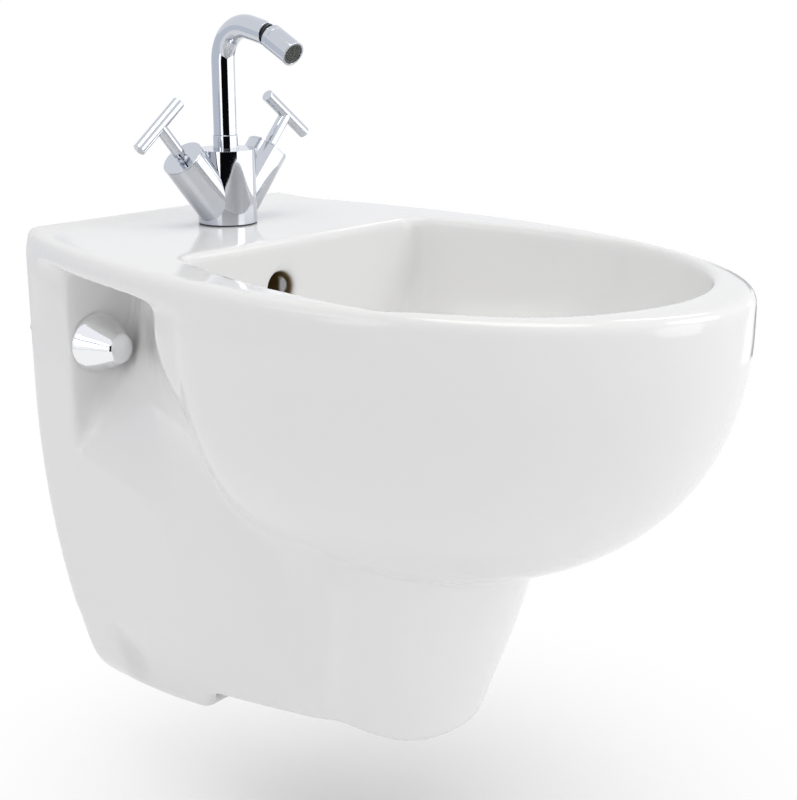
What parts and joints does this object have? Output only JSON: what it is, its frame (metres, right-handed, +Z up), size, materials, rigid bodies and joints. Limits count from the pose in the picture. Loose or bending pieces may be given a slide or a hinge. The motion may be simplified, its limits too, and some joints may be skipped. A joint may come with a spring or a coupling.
{
  "type": "wall-hung bidet",
  "caption": "White wall-hung bidet with an open basin, a swivelling tap with cross-bar handles and an aiming nozzle, a push-plug waste and capped wall fixings.",
  "frame": {"origin": "on the wall plane, midway between the two wall studs", "axes": "+Z up, +Y into the wall, the bidet stands out towards -Y, +X to the right when facing the wall"},
  "size_m": [0.36, 0.584, 0.5705],
  "materials": {
    "china": "white glaze",
    "chrome": "polished chrome plate on brass",
    "brass": "plain turned brass",
    "steel": "zinc-plated steel",
    "rubber": "black rubber",
    "black_plastic": "black plastic",
    "white_plastic": "white plastic",
    "grey_plastic": "grey-green plastic",
    "disc_ceramic": "lapped ceramic"
  },
  "bodies": {
    "bidet": {"bidet_bowl": "china", "tap_body": "chrome", "tap_base_gasket": "rubber", "tap_stud": "steel", "tap_nut": "brass", "rubber_horseshoe": "rubber", "steel_horseshoe": "steel", "waste_gasket": "rubber", "waste_flange": "chrome", "waste_body": "chrome", "lower_gasket": "rubber", "back_nut": "brass", "plug_guide": "white_plastic", "wall_studs": "steel", "stud_sleeves": "white_plastic", "cap_bases": "white_plastic", "fixing_washers": "steel", "fixing_nuts": "steel", "fixing_caps": "chrome", "left_arm_cover": "chrome", "left_headwork": "brass", "left_headwork_seal": "rubber", "left_fixed_disc": "disc_ceramic", "right_arm_cover": "chrome", "right_headwork": "brass", "right_headwork_seal": "rubber", "right_fixed_disc": "disc_ceramic"},
    "left_handle": {"left_turning_disc": "disc_ceramic", "left_spindle": "chrome", "left_handle_stem": "chrome", "left_handle_bar": "chrome", "left_grub_screw": "steel"},
    "right_handle": {"right_turning_disc": "disc_ceramic", "right_spindle": "chrome", "right_handle_stem": "chrome", "right_handle_bar": "chrome", "right_grub_screw": "steel"},
    "spout": {"spout_collar": "chrome", "spout_seals": "rubber", "spout_slip_ring": "white_plastic", "spout_tube": "chrome"},
    "nozzle_socket": {"ball_socket": "black_plastic"},
    "nozzle": {"nozzle_ball": "chrome", "nozzle_ring": "chrome", "nozzle_housing": "chrome", "aerator_washer": "rubber", "aerator_insert": "grey_plastic", "aerator_screen": "grey_plastic"},
    "plug": {"drain_plug": "chrome", "plug_seal": "rubber", "plug_stem": "brass"}
  },
  "joints": [
    {"name": "left_handle_turn", "type": "hinge", "parent": "bidet", "child": "left_handle", "pos_m": [-0.04503, -0.086, 0.14163], "axis": [-0.6361, 0, 0.7716], "range_deg": [0, 90]},
    {"name": "right_handle_turn", "type": "hinge", "parent": "bidet", "child": "right_handle", "pos_m": [0.04503, -0.086, 0.14163], "axis": [0.6361, 0, 0.7716], "range_deg": [-90, 0]},
    {"name": "spout_swivel", "type": "hinge", "parent": "bidet", "child": "spout", "pos_m": [0, -0.086, 0.145], "axis": [0, 0, 1], "range_deg": [-60, 60]},
    {"name": "nozzle_spin", "type": "hinge", "parent": "spout", "child": "nozzle_socket", "pos_m": [0, -0.14083, 0.236], "axis": [0, -0.9781, -0.2079], "range_deg": [-45, 45]},
    {"name": "nozzle_tilt", "type": "hinge", "parent": "nozzle_socket", "child": "nozzle", "pos_m": [0, -0.14083, 0.236], "axis": [1, 0, 0], "range_deg": [-35, 4]},
    {"name": "plug_push", "type": "slide", "parent": "bidet", "child": "plug", "axis": [0, 0, -1], "range_m": [0, 0.0075]}
  ]
}
